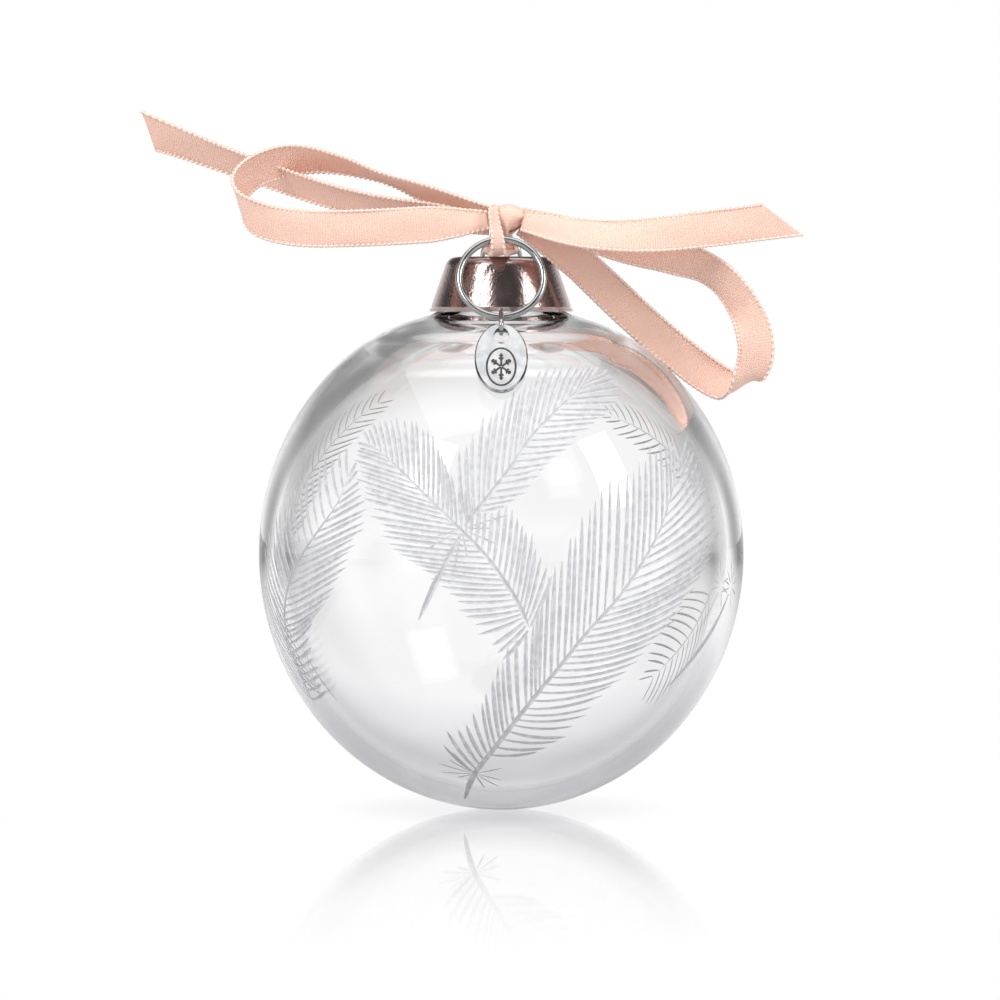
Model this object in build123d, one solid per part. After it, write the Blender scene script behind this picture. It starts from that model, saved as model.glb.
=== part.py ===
from build123d import *
from math import asin, cos, degrees, radians, sin, tan
import os

# Glass ball ornament: a thick-walled glass ball with a short neck, a spun metal cap on a sprung
# wire hanger, a satin ribbon tied through the hanger in a bow, and a charm that hangs in the
# ribbon: a ring, a long link and an oval tag that lies on the ball's shoulder.
# Millimetres. The origin is the ball's lowest point, +Z runs up the neck and -Y is the front.

# --- ball: two half ellipses that share one equator, then a shoulder that sweeps up into the neck
BALL_RADIUS = 40.0
EQUATOR_Z = 42.4
UPPER_SEMI_AXIS = 42.1
WALL = 2.8
FLOOR_WALL = 3.0
CAVITY_UPPER_SEMI_AXIS = 37.0
SHOULDER_START_Z = 77.0
SHOULDER_POINTS = [(19.3, 78.85), (16.4, 80.15), (12.6, 81.4), (9.7, 82.8)]
NECK_RADIUS = 7.6
NECK_STRAIGHT_Z = 86.5
NECK_RIM_ROUND = 0.7
BORE_RADIUS = 5.6
BORE_START_Z = 81.5
CAVITY_MOUTH_RADIUS = 8.6
ARC_STEPS = 8

# --- cap: a spun cone with a rolled rim, sitting over the neck
CAP_RIM_Z = 82.2
CAP_TOP_Z = 91.2
CAP_RIM_RADIUS = 11.8
CAP_SLOPE = 0.34
CAP_ROUND = 2.0
CAP_SHEET = 0.45
CAP_CLEARANCE = 0.1
RIM_HEIGHT = 0.5
GROOVE_HEIGHT = 0.25
GROOVE_DEPTH = 0.18

# --- hanger: one wire, bent to an arch above the cap and to two legs inside the neck
HANGER_WIRE = 0.8
HANGER_HALF_SPAN = 3.1
HANGER_HOLE_CLEARANCE = 0.05
LEG_SPREAD = 4.9
LEG_FOOT_Z = 79.6
LEG_BEND_Z = 89.0
LEG_BEND_ROUND = 4.0

# --- ring, link and tag; (y, z) pairs lie in the plane x = 0
RING_RADIUS = 6.83
RING_WIRE = 1.15
RING_TOP = (-12.0, 93.9)
RING_TILT = 23.7
LINK_WIRE = 0.75
LINK_END_RADIUS = 0.7
LINK_SLACK = 0.08
TAG_WIDTH = 8.5
TAG_LENGTH = 14.4
TAG_THICKNESS = 0.8
TAG_BEVEL = 0.22
TAG_TILT = 42.0
TAG_TOP = (-22.1, 80.15)
TAG_BRIDGE = 1.0
TAG_HOLE_WIDTH = 2.5
TAG_HOLE_LENGTH = 3.4

# --- ribbon: one strip, 6 mm wide; each free stretch is a round tube with the strip's volume
RIBBON_TUBE = 1.4
TUBE_RUN_SHARE = 0.45
STRAND_WIDTH = 3.0
STRAND_THICKNESS = 0.5
STRAND_BEND = 0.9
STRAND_ROUTE = [
    (-10.4, 95.6), (-13.1, 94.9), (-13.1, 92.7), (1.7, 92.7), (1.7, 95.0), (-7.2, 97.7),
]
KNOT_CENTRE = (0.7, -9.2, 97.35)
KNOT_SIZE = (5.6, 4.4, 4.4)
KNOT_ROUND = 1.5
RIBBON_ROUTES = {
    "ribbon_tail_left": [
        (-2.0, -8.0, 96.2), (-9.7, -5.5, 97.6), (-19.4, -3.0, 98.9), (-29.0, 0.5, 101.3),
        (-38.0, 3.2, 104.5), (-47.8, 4.0, 108.0), (-58.3, 3.0, 112.0),
    ],
    "ribbon_loop_left": [
        (-1.9, -9.3, 98.3), (-10.8, -5.5, 100.7), (-19.0, -2.0, 104.1), (-27.2, 1.0, 106.8),
        (-35.2, 1.0, 107.4), (-41.6, -2.5, 104.9), (-43.6, -7.5, 101.0), (-40.2, -11.0, 97.1),
        (-32.8, -12.8, 95.5), (-22.9, -12.8, 95.7), (-11.5, -11.8, 96.3), (-2.1, -10.3, 97.1),
    ],
    "ribbon_loop_right": [
        (3.4, -8.4, 97.8), (12.0, -7.6, 95.2), (20.5, -7.5, 92.8), (29.0, -7.5, 91.2),
        (35.3, -8.0, 88.6), (38.9, -10.0, 84.2), (41.2, -11.2, 79.2), (41.6, -11.2, 74.4),
        (39.6, -9.8, 70.3), (37.6, -4.4, 69.6), (33.6, -2.4, 71.8), (28.8, -1.6, 75.6),
        (23.2, -2.0, 80.3), (17.2, -3.5, 86.0), (11.2, -5.7, 91.6), (3.2, -8.2, 96.0),
    ],
    "ribbon_tail_right": [
        (3.5, -10.6, 96.7), (10.2, -12.2, 95.2), (18.5, -12.5, 94.4), (26.0, -12.8, 94.7),
        (34.0, -12.8, 95.7), (45.6, -12.0, 97.1),
    ],
}


def lean(angle):
    """Unit (y, z) direction that points down and forwards, angle degrees off straight down."""
    return Vector(0, -sin(radians(angle)), -cos(radians(angle)))


def quarter(half_width, semi_axis, start, size):
    """Stretch of a half ellipse about the ball's equator, drawn in an open BuildLine."""
    angles = [radians(start + size * step / ARC_STEPS) for step in range(ARC_STEPS + 1)]
    points = [(half_width * cos(a), EQUATOR_Z + semi_axis * sin(a)) for a in angles]
    tangents = [(-half_width * sin(a), semi_axis * cos(a)) for a in (angles[0], angles[-1])]
    return Spline(*points, tangents=tangents)


def glass_ball():
    """Hollow ball and neck, revolved from one closed outline."""
    cavity_radius = BALL_RADIUS - WALL
    rim_z = CAP_TOP_Z - CAP_SHEET - CAP_CLEARANCE
    shoulder_angle = degrees(asin((SHOULDER_START_Z - EQUATOR_Z) / UPPER_SEMI_AXIS))
    mouth_angle = 90 - degrees(asin(CAVITY_MOUTH_RADIUS / cavity_radius))
    with BuildSketch(Plane.XZ) as outline:
        with BuildLine():
            outer_floor = quarter(BALL_RADIUS, EQUATOR_Z, -90, 90)
            outer_side = quarter(BALL_RADIUS, UPPER_SEMI_AXIS, 0, shoulder_angle)
            neck_foot = (NECK_RADIUS, NECK_STRAIGHT_Z)
            shoulder_ends = [outer_side % 1, (0, 1)]
            Spline(outer_side @ 1, *SHOULDER_POINTS, neck_foot, tangents=shoulder_ends)
            bore_foot = (BORE_RADIUS, BORE_START_Z)
            Polyline(neck_foot, (NECK_RADIUS, rim_z), (BORE_RADIUS, rim_z), bore_foot)
            cavity_side = quarter(cavity_radius, CAVITY_UPPER_SEMI_AXIS, 0, mouth_angle)
            Spline(cavity_side @ 1, bore_foot, tangents=[cavity_side % 1, (0, 1)])
            cavity_floor = quarter(cavity_radius, EQUATOR_Z - FLOOR_WALL, -90, 90)
            Line(cavity_floor @ 0, outer_floor @ 0)
        make_face()
    ball = revolve(outline.sketch, Axis.Z)
    rim_edges = ball.edges().group_by(Axis.Z)[-1]
    return fillet(rim_edges, NECK_RIM_ROUND)


def cone_radius(z, inset=0.0):
    """Radius of the cap's conical side at height z, or of a cone set in by inset."""
    return CAP_RIM_RADIUS - inset - CAP_SLOPE * (z - CAP_RIM_Z)


def cap_shell():
    """Spun cap: rounded top, conical side, a groove over the rolled rim and two wire holes."""
    under_top = CAP_TOP_Z - CAP_SHEET
    groove_z = CAP_RIM_Z + RIM_HEIGHT
    cone = Polyline(
        (0, CAP_RIM_Z), (CAP_RIM_RADIUS, CAP_RIM_Z),
        (CAP_RIM_RADIUS, groove_z), (cone_radius(groove_z, GROOVE_DEPTH), groove_z),
        (cone_radius(groove_z, GROOVE_DEPTH), groove_z + GROOVE_HEIGHT),
        (cone_radius(groove_z + GROOVE_HEIGHT), groove_z + GROOVE_HEIGHT),
        (cone_radius(CAP_TOP_Z), CAP_TOP_Z), (0, CAP_TOP_Z), (0, CAP_RIM_Z),
    )
    hollow = Polyline(
        (0, CAP_RIM_Z), (cone_radius(CAP_RIM_Z, CAP_SHEET), CAP_RIM_Z),
        (cone_radius(under_top, CAP_SHEET), under_top), (0, under_top), (0, CAP_RIM_Z),
    )
    outside = revolve(Plane.XZ * make_face(cone), Axis.Z)
    top_edge = outside.edges().filter_by(GeomType.CIRCLE).group_by(Axis.Z)[-1]
    outside = fillet(top_edge, CAP_ROUND)
    inside = revolve(Plane.XZ * make_face(hollow), Axis.Z)
    inside_edge = inside.edges().filter_by(GeomType.CIRCLE).group_by(Axis.Z)[-1]
    inside = fillet(inside_edge, CAP_ROUND - CAP_SHEET)
    hole = Cylinder(HANGER_WIRE / 2 + HANGER_HOLE_CLEARANCE, 4 * CAP_SHEET)
    holes = [Pos(side * HANGER_HALF_SPAN, 0, CAP_TOP_Z) * hole for side in (-1, 1)]
    return outside - inside - holes


def wire_along(path, diameter):
    """Round wire along a path that starts at path @ 0."""
    start = Plane(origin=path @ 0, z_dir=path % 0)
    return sweep(start * Circle(diameter / 2), path=path)


def wire_hanger():
    """Arch above the cap with two straight shanks through it and two legs that spread below."""
    span = HANGER_HALF_SPAN
    legs = []
    for side in (-1, 1):
        leg_points = [(side * LEG_SPREAD, 0, LEG_FOOT_Z), (side * span, 0, LEG_BEND_Z)]
        leg_points.append((side * span, 0, CAP_TOP_Z))
        legs.append(FilletPolyline(*leg_points, radius=LEG_BEND_ROUND))
    arch = ThreePointArc((-span, 0, CAP_TOP_Z), (0, 0, CAP_TOP_Z + span), (span, 0, CAP_TOP_Z))
    path = Wire(legs[0].edges() + arch.edges() + legs[1].edges())
    return wire_along(path, HANGER_WIRE)


def charm_ring():
    """Plain round ring, leaning out from its top."""
    ring = Rot(X=90) * Torus(RING_RADIUS, RING_WIRE / 2)
    hung = Rot(X=-RING_TILT) * (Pos(0, 0, -RING_RADIUS) * ring)
    return Pos(0, *RING_TOP) * hung


def ring_bottom():
    """Centre of the ring's wire at its lowest point."""
    return Vector(0, *RING_TOP) + lean(RING_TILT) * (2 * RING_RADIUS)


def tag_pivot():
    """Middle of the bridge of metal between the tag's hole and its top edge."""
    return Vector(0, *TAG_TOP) + lean(TAG_TILT) * (TAG_BRIDGE / 2)


def charm_link():
    """Long oval link, on edge, round the ring's wire at one end and the tag's bridge at the other."""
    start, end = ring_bottom(), tag_pivot()
    along = (end - start).normalized()
    start = start + along * (LINK_END_RADIUS - RING_WIRE / 2 - LINK_SLACK)
    bend = LINK_END_RADIUS + LINK_WIRE / 2
    slot = Plane(origin=(start + end) / 2, x_dir=along, z_dir=(1, 0, 0))
    path = slot * SlotCenterToCenter((end - start).length, 2 * bend).face().outer_wire()
    return wire_along(path, LINK_WIRE)


def charm_tag():
    """Bevelled oval plate with an oval hole below its top edge."""
    middle = Vector(0, *TAG_TOP) + lean(TAG_TILT) * (TAG_LENGTH / 2)
    hole_shift = TAG_LENGTH / 2 - TAG_BRIDGE - TAG_HOLE_LENGTH / 2
    plate = extrude(Ellipse(TAG_WIDTH / 2, TAG_LENGTH / 2), TAG_THICKNESS / 2, both=True)
    plate = chamfer(plate.edges(), TAG_BEVEL)
    hole_outline = Pos(0, hole_shift) * Ellipse(TAG_HOLE_WIDTH / 2, TAG_HOLE_LENGTH / 2)
    hole = extrude(hole_outline, TAG_THICKNESS, both=True)
    facing = Vector(0, -cos(radians(TAG_TILT)), sin(radians(TAG_TILT)))
    return Plane(origin=middle, x_dir=(1, 0, 0), z_dir=facing) * (plate - hole)


def tube_radii(points):
    """Largest tangent arc that fits each corner of a route."""
    radii = []
    for before, corner, after in zip(points, points[1:], points[2:]):
        into, out = Vector(corner) - Vector(before), Vector(after) - Vector(corner)
        half_turn = radians(into.get_angle(out)) / 2
        radii.append(TUBE_RUN_SHARE * min(into.length, out.length) / tan(half_turn))
    return radii


def ribbon_tube(name, points):
    """Round tube along straight runs joined by tangent arcs."""
    radii = tube_radii(points)
    path = FilletPolyline(*points, radius=radii)
    print(name, "length", round(path.length, 1), "arc radii", [round(r, 1) for r in radii])
    return wire_along(Wire(path.edges()), RIBBON_TUBE)


def ribbon_strand():
    """Strip from the knot round the ring's wire, under the hanger's arch and back to the knot."""
    points = [(0, y, z) for y, z in STRAND_ROUTE]
    path = Wire(FilletPolyline(*points, radius=STRAND_BEND).edges())
    section = Plane(origin=path @ 0, x_dir=(1, 0, 0), z_dir=path % 0)
    return sweep(section * Rectangle(STRAND_WIDTH, STRAND_THICKNESS), path=path)


def ribbon_knot():
    """Rounded block at the size of the knot."""
    block = Box(*KNOT_SIZE)
    return Pos(*KNOT_CENTRE) * fillet(block.edges(), KNOT_ROUND)


os.makedirs("parts", exist_ok=True)
nodes = {
    "glass_ball": glass_ball(),
    "cap_shell": cap_shell(),
    "wire_hanger": wire_hanger(),
    "charm_ring": charm_ring(),
    "charm_link": charm_link(),
    "charm_tag": charm_tag(),
    "ribbon_strand": ribbon_strand(),
    "ribbon_knot": ribbon_knot(),
}
for name, route in RIBBON_ROUTES.items():
    nodes[name] = ribbon_tube(name, route)
for name, solid in nodes.items():
    export_step(solid, f"parts/{name}.step")
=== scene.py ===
"""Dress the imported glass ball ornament: cut feathers, satin bow, spun cap and oval charm."""

import logging
import math
from collections.abc import Callable, Sequence
from dataclasses import dataclass, field
from enum import Enum

import bmesh
import bpy
import numpy as np
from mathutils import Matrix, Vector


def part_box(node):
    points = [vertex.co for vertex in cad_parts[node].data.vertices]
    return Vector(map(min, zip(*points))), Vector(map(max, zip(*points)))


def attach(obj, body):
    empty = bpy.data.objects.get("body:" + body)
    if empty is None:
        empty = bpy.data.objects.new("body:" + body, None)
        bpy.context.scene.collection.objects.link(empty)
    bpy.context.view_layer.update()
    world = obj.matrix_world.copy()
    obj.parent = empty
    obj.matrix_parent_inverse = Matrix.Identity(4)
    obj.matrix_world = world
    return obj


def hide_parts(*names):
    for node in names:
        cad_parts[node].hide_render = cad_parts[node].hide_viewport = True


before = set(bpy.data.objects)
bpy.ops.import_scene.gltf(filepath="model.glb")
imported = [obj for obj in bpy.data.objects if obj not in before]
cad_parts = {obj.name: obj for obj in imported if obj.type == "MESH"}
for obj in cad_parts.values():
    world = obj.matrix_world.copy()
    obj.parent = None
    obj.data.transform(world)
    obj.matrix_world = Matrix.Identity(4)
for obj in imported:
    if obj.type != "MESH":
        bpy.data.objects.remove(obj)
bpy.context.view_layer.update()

LOG = logging.getLogger("ornament")
MM = 0.001
SEED = 7

Place = tuple[float, float, float]
Mark = tuple[float, float]


class Slot(Enum):
    """Names of material slots in the record."""

    CRYSTAL = "crystal"
    TAG_SILVER = "tag_silver"
    RIBBON_SATIN = "ribbon_satin"


class Body(Enum):
    """Bodies of the frame that the new pieces ride on."""

    BALL = "ball"
    CAP = "cap"
    TAG = "tag"


# --- small geometry helpers, all in millimetres


def unit(vectors: np.ndarray) -> np.ndarray:
    """Scale each vector to length one."""
    return vectors / np.maximum(np.linalg.norm(vectors, axis=-1, keepdims=True), 1e-12)


def distances(line: np.ndarray) -> np.ndarray:
    """Distance run along a line at each of its points."""
    steps = np.linalg.norm(np.diff(line, axis=0), axis=1)
    return np.concatenate([[0.0], np.cumsum(steps)])


def at_shares(line: np.ndarray, shares: np.ndarray) -> np.ndarray:
    """Points of a line at shares of its length.

    Args:
        line: Points of the line, one row each.
        shares: Wanted places, from 0 at the start to 1 at the end.

    Returns:
        One row for each share.
    """
    run = distances(line)
    wanted = np.clip(shares, 0, 1) * run[-1]
    return np.stack([np.interp(wanted, run, column) for column in line.T], axis=1)


def flowing(points: Sequence, count: int, ends: Sequence | None = None) -> np.ndarray:
    """Smooth line that passes through every point.

    Args:
        points: Points to pass through.
        count: Number of points on each stretch between two of them.
        ends: Directions at the start and the end, or None to take the nearest chords.

    Returns:
        Points of the line, one row each.
    """
    knots = np.array(points, float)
    slopes = np.gradient(knots, axis=0)
    if ends is not None:
        chords = np.linalg.norm(knots[[1, -1]] - knots[[0, -2]], axis=1)
        slopes[0] = unit(np.array(ends[0], float)) * chords[0]
        slopes[-1] = unit(np.array(ends[1], float)) * chords[1]
    t = np.linspace(0, 1, count, endpoint=False)[:, None]
    runs = []
    for a, b, slope_a, slope_b in zip(knots[:-1], knots[1:], slopes[:-1], slopes[1:]):
        runs.append(
            a * (1 + 2 * t) * (1 - t) ** 2 + b * t * t * (3 - 2 * t)
            + slope_a * t * (1 - t) ** 2 - slope_b * t * t * (1 - t)
        )
    return np.concatenate([*runs, knots[-1:]])


def read_route(route: Sequence[Place], resolution: int = 40) -> np.ndarray:
    """Read the smooth line of a ribbon's route from its NURBS spline.

    Args:
        route: Control points in millimetres.
        resolution: Points read on each span of the spline.

    Returns:
        Points of the line in millimetres.
    """
    curve = bpy.data.curves.new("route", "CURVE")
    curve.dimensions = "3D"
    curve.resolution_u = resolution
    spline = curve.splines.new("NURBS")
    spline.points.add(len(route) - 1)
    for point, place in zip(spline.points, route):
        point.co = (*(axis * MM for axis in place), 1.0)
    spline.order_u = 3
    spline.use_endpoint_u = True
    holder = bpy.data.objects.new("route", curve)
    mesh = bpy.data.meshes.new_from_object(holder)
    line = np.array([vertex.co for vertex in mesh.vertices]) / MM
    bpy.data.objects.remove(holder)
    bpy.data.curves.remove(curve)
    bpy.data.meshes.remove(mesh)
    return line


@dataclass
class Shell:
    """Closed surfaces gathered for one piece, in millimetres."""

    points: list[np.ndarray] = field(default_factory=list)
    faces: list[tuple[int, ...]] = field(default_factory=list)
    finishes: list[int] = field(default_factory=list)
    spots: list[np.ndarray] = field(default_factory=list)
    count: int = 0

    def tube(
        self, rows: np.ndarray, finish: int = 0, ring: bool = False,
        spots: np.ndarray | None = None,
    ) -> None:
        """Add a skin over rows of points.

        Args:
            rows: Array of rows, points in a row, and 3; each row is a closed loop.
            finish: Index of the material.
            ring: True where the last row joins the first, False where both ends are capped.
            spots: Place of each point on the flat cloth in millimetres, or None.
        """
        number, around = rows.shape[:2]
        index = self.count + np.arange(number * around).reshape(number, around)
        following = np.roll(index, -1, axis=0) if ring else index[1:]
        here = index if ring else index[:-1]
        quads = np.stack(
            [here, np.roll(here, -1, 1), np.roll(following, -1, 1), following], axis=-1
        ).reshape(-1, 4)
        self.faces += [tuple(quad) for quad in quads.tolist()]
        added = len(quads)
        if not ring:
            self.faces += [tuple(index[0][::-1].tolist()), tuple(index[-1].tolist())]
            added += 2
        self.finishes += [finish] * added
        self.points.append(rows.reshape(-1, 3))
        flat = np.zeros((number * around, 2)) if spots is None else spots.reshape(-1, 2)
        self.spots.append(flat)
        self.count += number * around

    def piece(self, name: str, materials: Sequence[bpy.types.Material]) -> bpy.types.Object:
        """Make the Blender object of everything added so far.

        Args:
            name: Name of the piece.
            materials: Materials, in the order of the finish numbers.

        Returns:
            The new object, in metres.
        """
        mesh = bpy.data.meshes.new(name)
        mesh.from_pydata((np.concatenate(self.points) * MM).tolist(), [], self.faces)
        mesh.polygons.foreach_set("material_index", self.finishes)
        mesh.polygons.foreach_set("use_smooth", [True] * len(mesh.polygons))
        layer = mesh.uv_layers.new(name="UVMap")
        corners = np.zeros(len(mesh.loops), int)
        mesh.loops.foreach_get("vertex_index", corners)
        layer.data.foreach_set("uv", np.concatenate(self.spots)[corners].ravel())
        for material in materials:
            mesh.materials.append(material)
        made = bpy.data.objects.new(name, mesh)
        bpy.context.scene.collection.objects.link(made)
        outward(mesh)
        return made


def outward(mesh: bpy.types.Mesh) -> None:
    """Turn a closed mesh's faces to look outwards."""
    work = bmesh.new()
    work.from_mesh(mesh)
    bmesh.ops.recalc_face_normals(work, faces=work.faces)
    work.to_mesh(mesh)
    work.free()


def place_piece(
    piece: bpy.types.Object, body: Body, nodes: Sequence[str] = ()
) -> bpy.types.Object:
    """Tie a piece to its body and the CAD nodes that it stands for.

    Args:
        piece: The finished object.
        body: Body that it rides on.
        nodes: CAD nodes that it replaces.

    Returns:
        The same object.
    """
    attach(piece, body.value)
    if nodes:
        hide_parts(*nodes)
    LOG.info("%s: %d faces on %s", piece.name, len(piece.data.polygons), body.value)
    return piece


# --- finishes


class Board:
    """Nodes of one material, group or world, with short calls to add and join them."""

    def __init__(self, tree: bpy.types.NodeTree) -> None:
        """Empty the tree and keep it."""
        self.tree = tree
        tree.nodes.clear()

    def add(self, kind: str, values: dict | None = None, **settings: object) -> bpy.types.Node:
        """Add a node.

        Args:
            kind: Blender's name of the node type.
            values: Inputs by name or number; a socket is joined, anything else is set.
            **settings: Properties of the node.

        Returns:
            The new node.
        """
        node = self.tree.nodes.new(kind)
        for key, value in settings.items():
            setattr(node, key, value)
        for key, value in (values or {}).items():
            if isinstance(value, bpy.types.NodeSocket):
                self.tree.links.new(value, node.inputs[key])
            else:
                node.inputs[key].default_value = value
        return node

    def math(self, operation: str, *values: object, clamp: bool = False) -> bpy.types.NodeSocket:
        """Add a Math node and return its result."""
        node = self.add("ShaderNodeMath", dict(enumerate(values)), operation=operation)
        node.use_clamp = clamp
        return node.outputs[0]

    def blend(self, share: object, first: object, second: object) -> bpy.types.NodeSocket:
        """Mix two colours by share and return the result."""
        node = self.add("ShaderNodeMix", {0: share}, data_type="RGBA")
        for key, value in ((6, first), (7, second)):
            if isinstance(value, bpy.types.NodeSocket):
                self.tree.links.new(value, node.inputs[key])
            else:
                node.inputs[key].default_value = value
        return node.outputs[2]

    def ramp(self, share: bpy.types.NodeSocket, stops: Sequence[tuple]) -> bpy.types.NodeSocket:
        """Add a colour ramp and return its colour.

        Args:
            share: Input of the ramp.
            stops: Pairs of place and grey value or colour.

        Returns:
            The colour output.
        """
        node = self.add("ShaderNodeValToRGB", {0: share})
        elements = node.color_ramp.elements
        while len(elements) < len(stops):
            elements.new(0.5)
        for element, (place, colour) in zip(elements, stops):
            element.position = place
            element.color = colour if isinstance(colour, tuple) else (*[colour] * 3, 1.0)
        return node.outputs[0]


def new_material(name: str) -> tuple[bpy.types.Material, Board]:
    """Make an empty node material and its board."""
    material = bpy.data.materials.new(name)
    material.use_nodes = True
    return material, Board(material.node_tree)


def rgb(red: float, green: float, blue: float) -> tuple[float, float, float, float]:
    """Colour with full alpha."""
    return (red, green, blue, 1.0)


def make_group(
    name: str, inputs: dict[str, float], outputs: Sequence[str]
) -> tuple[bpy.types.NodeTree, Board, bpy.types.Node, bpy.types.Node]:
    """Make a shader node group with named inputs and outputs.

    Args:
        name: Name of the group.
        inputs: Number inputs and their usual values.
        outputs: Names of the outputs, all of them numbers.

    Returns:
        The group, its board, its input node and its output node.
    """
    tree = bpy.data.node_groups.new(name, "ShaderNodeTree")
    for key, value in inputs.items():
        socket = tree.interface.new_socket(key, in_out="INPUT", socket_type="NodeSocketFloat")
        socket.default_value = value
    for key in outputs:
        tree.interface.new_socket(key, in_out="OUTPUT", socket_type="NodeSocketFloat")
    board = Board(tree)
    return tree, board, board.add("NodeGroupInput"), board.add("NodeGroupOutput")


class Effects:
    """Shader groups that several finishes share."""

    def __init__(self) -> None:
        """Build each group once."""
        self.handling = self.handling_marks()
        self.weave = self.satin_weave()

    def marks(self, board: Board, cloud: float, pits: float) -> bpy.types.Node:
        """Put the handling marks on a material's board.

        Args:
            board: Board of the material.
            cloud: Scale of the smudges; larger is finer.
            pits: Scale of the pits.

        Returns:
            The group's node, with outputs Smudge and Pits.
        """
        values = {"Cloud Scale": cloud, "Pit Scale": pits}
        return board.add("ShaderNodeGroup", values, node_tree=self.handling)

    @staticmethod
    def handling_marks() -> bpy.types.NodeTree:
        """Cloudy smudges and fine pits of a handled hard surface.

        Returns:
            Group with outputs Smudge, from 0 to 1, and Pits, a height.
        """
        tree, board, given, made = make_group(
            "handling_marks", {"Cloud Scale": 60.0, "Pit Scale": 2500.0}, ["Smudge", "Pits"]
        )
        spot = board.add("ShaderNodeTexCoord").outputs["Object"]
        cloud = board.add(
            "ShaderNodeTexNoise",
            {"Vector": spot, "Scale": given.outputs["Cloud Scale"], "Detail": 4.0},
        )
        pits = board.add(
            "ShaderNodeTexNoise",
            {"Vector": spot, "Scale": given.outputs["Pit Scale"], "Detail": 2.0},
        )
        smudge = board.math("SUBTRACT", cloud.outputs["Fac"], 0.4)
        board.tree.links.new(board.math("MULTIPLY", smudge, 3.0, clamp=True), made.inputs[0])
        board.tree.links.new(pits.outputs["Fac"], made.inputs[1])
        return tree

    @staticmethod
    def satin_weave() -> bpy.types.NodeTree:
        """Crossed threads of woven satin, read from the cloth's own flat layout.

        Returns:
            Group with outputs Threads, a height, and Slub, uneven yarn from 0 to 1.
        """
        tree, board, given, made = make_group(
            "satin_weave", {"Along Pitch": 0.34, "Across Pitch": 0.3}, ["Threads", "Slub"]
        )
        spot = board.add("ShaderNodeUVMap", uv_map="UVMap").outputs[0]
        flat = board.add("ShaderNodeSeparateXYZ", {0: spot})
        waves = []
        for axis, pitch in ((0, "Along Pitch"), (1, "Across Pitch")):
            turns = board.math("DIVIDE", flat.outputs[axis], given.outputs[pitch])
            waves.append(board.math("SINE", board.math("MULTIPLY", turns, 2 * math.pi)))
        crossed = board.math("MULTIPLY", waves[0], waves[1])
        ribs = board.math("MULTIPLY_ADD", waves[0], 0.45, crossed)
        stretched = board.add(
            "ShaderNodeMapping", {"Vector": spot, "Scale": (0.5, 3.2, 1.0)}
        ).outputs[0]
        slub = board.add("ShaderNodeTexNoise", {"Vector": stretched, "Scale": 1.4, "Detail": 5.0})
        board.tree.links.new(board.math("MULTIPLY_ADD", ribs, 0.5, 0.5), made.inputs[0])
        board.tree.links.new(slub.outputs["Fac"], made.inputs[1])
        return tree


def principled(
    board: Board, values: dict, height: bpy.types.NodeSocket | None = None,
    strength: float = 0.1, depth: float = 0.0001,
) -> bpy.types.Node:
    """Finish a material with its shader, output and bump.

    Args:
        board: Board of the material.
        values: Inputs of the shader.
        height: Height for the bump, or None.
        strength: Strength of the bump.
        depth: Depth of the bump in metres.

    Returns:
        The shader node.
    """
    shader = board.add("ShaderNodeBsdfPrincipled", values)
    if height is not None:
        bump = board.add(
            "ShaderNodeBump", {"Height": height, "Strength": strength, "Distance": depth}
        )
        board.tree.links.new(bump.outputs[0], shader.inputs["Normal"])
    board.add("ShaderNodeOutputMaterial", {0: shader.outputs[0]})
    return shader


@dataclass(frozen=True)
class CrystalFinish:
    """Clear blown glass with faint handling smudges."""

    ior: float = 1.52
    smudge_roughness: float = 0.012
    waviness: float = 0.06

    def build(self, effects: Effects) -> bpy.types.Material:
        """Make the material."""
        material, board = new_material("clear_crystal")
        marks = effects.marks(board, cloud=55.0, pits=70.0)
        rough = board.math("MULTIPLY", marks.outputs["Smudge"], self.smudge_roughness)
        principled(
            board,
            {"Base Color": rgb(1.0, 1.0, 1.0), "Roughness": rough, "IOR": self.ior,
             "Transmission Weight": 1.0},
            marks.outputs["Pits"], self.waviness, 0.0002,
        )
        return material


@dataclass(frozen=True)
class CutFinish:
    """Wheel-cut glass: ground, whitish and half clear."""

    roughness: float = 0.5
    clarity: float = 0.32

    def build(self, effects: Effects) -> bpy.types.Material:
        """Make the material."""
        material, board = new_material("ground_cut")
        marks = effects.marks(board, cloud=900.0, pits=5200.0)
        tint = board.blend(
            marks.outputs["Smudge"], rgb(0.64, 0.64, 0.67), rgb(0.85, 0.85, 0.87)
        )
        rough = board.math("MULTIPLY_ADD", marks.outputs["Smudge"], -0.18, self.roughness)
        principled(
            board,
            {"Base Color": tint, "Roughness": rough, "IOR": 1.5,
             "Transmission Weight": self.clarity},
            marks.outputs["Pits"], 0.5, 0.00008,
        )
        return material


@dataclass(frozen=True)
class MetalFinish:
    """Polished or satin metal with fine pits that break up its highlights."""

    name: str
    colour: tuple[float, float, float]
    cloudy: tuple[float, float, float]
    roughness: float
    smudge: float
    pit_scale: float
    pit_strength: float

    def build(self, effects: Effects) -> bpy.types.Material:
        """Make the material."""
        material, board = new_material(self.name)
        marks = effects.marks(board, cloud=180.0, pits=self.pit_scale)
        tint = board.blend(marks.outputs["Smudge"], rgb(*self.colour), rgb(*self.cloudy))
        rough = board.math("MULTIPLY_ADD", marks.outputs["Smudge"], self.smudge, self.roughness)
        principled(
            board, {"Base Color": tint, "Metallic": 1.0, "Roughness": rough},
            marks.outputs["Pits"], self.pit_strength, 0.00006,
        )
        return material


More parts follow.
